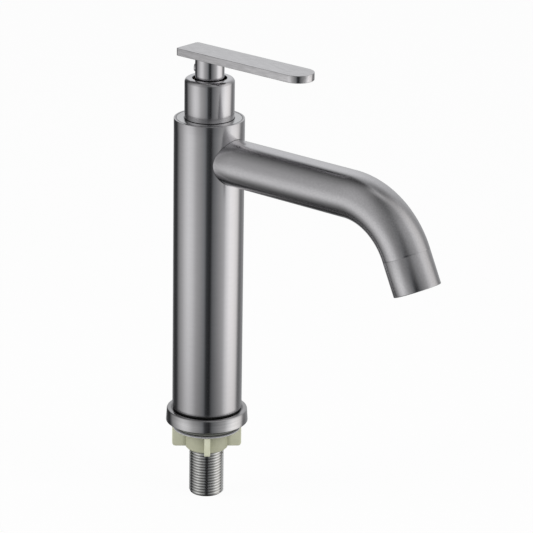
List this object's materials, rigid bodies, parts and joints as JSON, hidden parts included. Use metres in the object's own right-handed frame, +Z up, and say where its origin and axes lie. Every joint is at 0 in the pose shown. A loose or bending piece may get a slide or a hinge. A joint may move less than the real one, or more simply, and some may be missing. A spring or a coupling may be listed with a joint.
{
  "type": "basin tap",
  "caption": "Tall deck-mounted basin tap for one supply: round brushed column, bent tubular spout, flat quarter-turn lever, threaded shank with gasket, washer and wing nut.",
  "frame": {"origin": "centre of the base ring's underside, on the plane where the tap stands on the basin", "axes": "+Z up along the column, +X along the spout from the column to the outlet, +Y to the left of somebody who looks along the spout"},
  "size_m": [0.1957, 0.0496, 0.2779],
  "materials": {
    "column_steel": "fine brushing, satin",
    "spout_steel": "fine brushing, satin",
    "sleeve_steel": "fine brushing, satin",
    "ring_steel": "fine brushing round the ring",
    "bonnet_steel": "fine brushing, satin",
    "cap_steel": "turned face, satin",
    "post_steel": "fine brushing round the post",
    "lever_steel": "satin, brushed along its length",
    "thread_steel": "bright rolled thread",
    "washer_steel": "plain stamped steel",
    "inner_steel": "turned, satin",
    "screen_steel": "fine wire",
    "headwork_brass": "turned brass",
    "disc_ceramic": "lapped white ceramic",
    "seal_rubber": "black rubber",
    "gasket_rubber": "black rubber, slightly greenish",
    "nut_plastic": "ivory moulded plastic, slightly see-through",
    "white_plastic": "white moulded plastic",
    "fibre": "red fibre sealing washer"
  },
  "bodies": {
    "tap_body": {"base_ring": "ring_steel", "deck_seal": "seal_rubber", "joint_seal": "seal_rubber", "column_tube": "column_steel", "column_cap": "cap_steel", "base_plug": "inner_steel", "riser_pipe": "inner_steel", "threaded_shank": "thread_steel", "valve_chamber": "inner_steel", "spout_tube": "spout_steel", "outlet_sleeve": "sleeve_steel", "aerator_housing": "inner_steel", "aerator_core": "white_plastic", "aerator_screen": "screen_steel", "aerator_washer": "seal_rubber", "bonnet": "bonnet_steel", "headwork_washer": "fibre", "headwork_body": "headwork_brass", "seat_seal": "seal_rubber", "fixed_disc": "disc_ceramic"},
    "handle": {"turning_disc": "disc_ceramic", "spindle": "headwork_brass", "thrust_washer": "white_plastic", "spindle_o_rings": "seal_rubber", "spindle_circlip": "inner_steel", "spline_bush": "headwork_brass", "lever_post": "post_steel", "grub_screw": "inner_steel", "lever_plate": "lever_steel"},
    "clamp_stack": {"deck_gasket": "gasket_rubber", "clamp_washer": "washer_steel"},
    "nut": {"wing_nut": "nut_plastic"}
  },
  "joints": [
    {"name": "handle_turn", "type": "hinge", "parent": "tap_body", "child": "handle", "pos_m": [0, 0, 0.2], "axis": [0, 0, 1], "range_deg": [0, 90]},
    {"name": "nut_travel", "type": "slide", "parent": "tap_body", "child": "clamp_stack", "axis": [0, 0, -1], "range_m": [0, 0.02722]},
    {"name": "nut_turn", "type": "hinge", "parent": "clamp_stack", "child": "nut", "pos_m": [0, 0, -0.01], "axis": [0, 0, -1], "range_deg": [0, 5400]}
  ],
  "couplings": [
    {"joint": "nut_travel", "follows": "nut_turn", "m_per_rad": 0.00028875}
  ]
}
